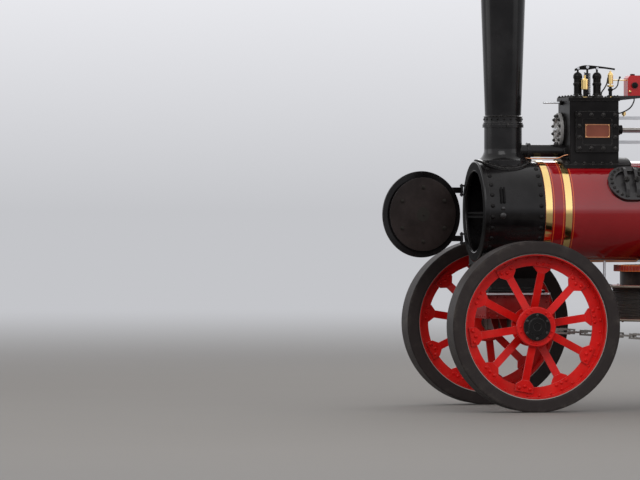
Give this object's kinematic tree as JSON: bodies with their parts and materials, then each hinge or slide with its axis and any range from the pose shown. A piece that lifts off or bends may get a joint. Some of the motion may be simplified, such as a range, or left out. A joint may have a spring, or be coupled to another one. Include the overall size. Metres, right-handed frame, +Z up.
{
  "type": "steam ploughing engine",
  "caption": "Steam ploughing engine: boiler on four spoked wheels with chimney, cylinder, crankshaft, flywheel, a rope drum under the barrel and an open smokebox door.",
  "frame": {"origin": "on the ground, at the middle of the engine's length and width", "axes": "+X forward, +Y to the engine's left, +Z up"},
  "size_m": [5.9923, 2.434, 3.75],
  "materials": {
    "boiler_paint": "deep gloss maroon",
    "wheel_paint": "bright gloss red",
    "drum_paint": "gloss orange red, worn",
    "black_paint": "satin to gloss black",
    "sooty_iron": "matt with soot",
    "grey_iron": "dull dark grey",
    "bright_steel": "oiled bright steel",
    "brass": "polished",
    "wire_rope": "greased steel rope",
    "tyre_rubber": "matt dark grey"
  },
  "bodies": {
    "root": {"boiler_barrel": "boiler_paint", "boiler_bands": "brass", "firebox": "boiler_paint", "hornplates": "boiler_paint", "smokebox": "black_paint", "tube_plate": "sooty_iron", "door_crossbar": "black_paint", "chimney_base": "black_paint", "chimney_barrel": "black_paint", "cylinder_block": "black_paint", "valve_chest_cover": "black_paint", "cylinder_cover": "bright_steel", "safety_valves": "black_paint", "safety_valve_casing": "brass", "whistle": "brass", "exhaust_pipe": "black_paint", "manhole": "grey_iron", "slide_bars": "bright_steel", "connecting_rod": "bright_steel", "valve_gear": "bright_steel", "lubricator": "wheel_paint", "perch_bracket": "black_paint", "drum_bracket": "black_paint", "plough_drive": "grey_iron", "rope_guide": "grey_iron", "steering_gear": "black_paint", "steering_chains": "grey_iron", "road_gears": "grey_iron", "hind_axle": "black_paint", "footplate": "black_paint", "tender": "boiler_paint", "bunker_sides": "boiler_paint", "bunker_back": "boiler_paint", "bunker_front": "boiler_paint", "drawbar": "black_paint", "ash_pan": "black_paint", "controls": "bright_steel"},
    "front_carriage": {"forecarriage": "boiler_paint", "front_axle": "black_paint"},
    "wheel_front_left": {"front_left_wheel": "wheel_paint", "front_left_tyre": "tyre_rubber", "front_left_cap": "black_paint"},
    "wheel_front_right": {"front_right_wheel": "wheel_paint", "front_right_tyre": "tyre_rubber", "front_right_cap": "black_paint"},
    "wheel_hind_left": {"hind_left_wheel": "wheel_paint", "hind_left_tyre": "tyre_rubber", "hind_left_cap": "black_paint"},
    "wheel_hind_right": {"hind_right_wheel": "wheel_paint", "hind_right_tyre": "tyre_rubber", "hind_right_cap": "black_paint"},
    "crank": {"crankshaft": "bright_steel", "flywheel": "wheel_paint"},
    "drum": {"winding_drum": "drum_paint", "rope_coil": "wire_rope"},
    "front_door": {"smokebox_door": "black_paint"},
    "firehole_door": {"fire_door": "black_paint"}
  },
  "joints": [
    {"name": "steering", "type": "hinge", "parent": "root", "child": "front_carriage", "pos_m": [1.9224, 0, 1], "axis": [0, 0, 1], "range_deg": [-22, 22]},
    {"name": "front_left_roll", "type": "hinge", "parent": "front_carriage", "child": "wheel_front_left", "pos_m": [1.9224, 0.9, 0.725], "axis": [0, 1, 0], "continuous": true},
    {"name": "front_right_roll", "type": "hinge", "parent": "front_carriage", "child": "wheel_front_right", "pos_m": [1.9224, -0.9, 0.725], "axis": [0, 1, 0], "continuous": true},
    {"name": "hind_left_roll", "type": "hinge", "parent": "root", "child": "wheel_hind_left", "pos_m": [-1.4276, 0.962, 1], "axis": [0, 1, 0], "continuous": true},
    {"name": "hind_right_roll", "type": "hinge", "parent": "root", "child": "wheel_hind_right", "pos_m": [-1.4276, -0.962, 1], "axis": [0, 1, 0], "continuous": true},
    {"name": "crank_turn", "type": "hinge", "parent": "root", "child": "crank", "pos_m": [-0.4276, 0, 2.408], "axis": [0, 1, 0], "continuous": true},
    {"name": "drum_turn", "type": "hinge", "parent": "root", "child": "drum", "pos_m": [0.4224, 0, 0.9], "axis": [0, 0, 1], "continuous": true},
    {"name": "smokebox_door_swing", "type": "hinge", "parent": "root", "child": "front_door", "pos_m": [2.2484, -0.395, 1.675], "axis": [0, 0, 1], "range_deg": [-36, 76]},
    {"name": "fire_door_swing", "type": "hinge", "parent": "root", "child": "firehole_door", "pos_m": [-1.1416, 0.215, 1.48], "axis": [0, 0, 1], "range_deg": [-110, 0]}
  ]
}
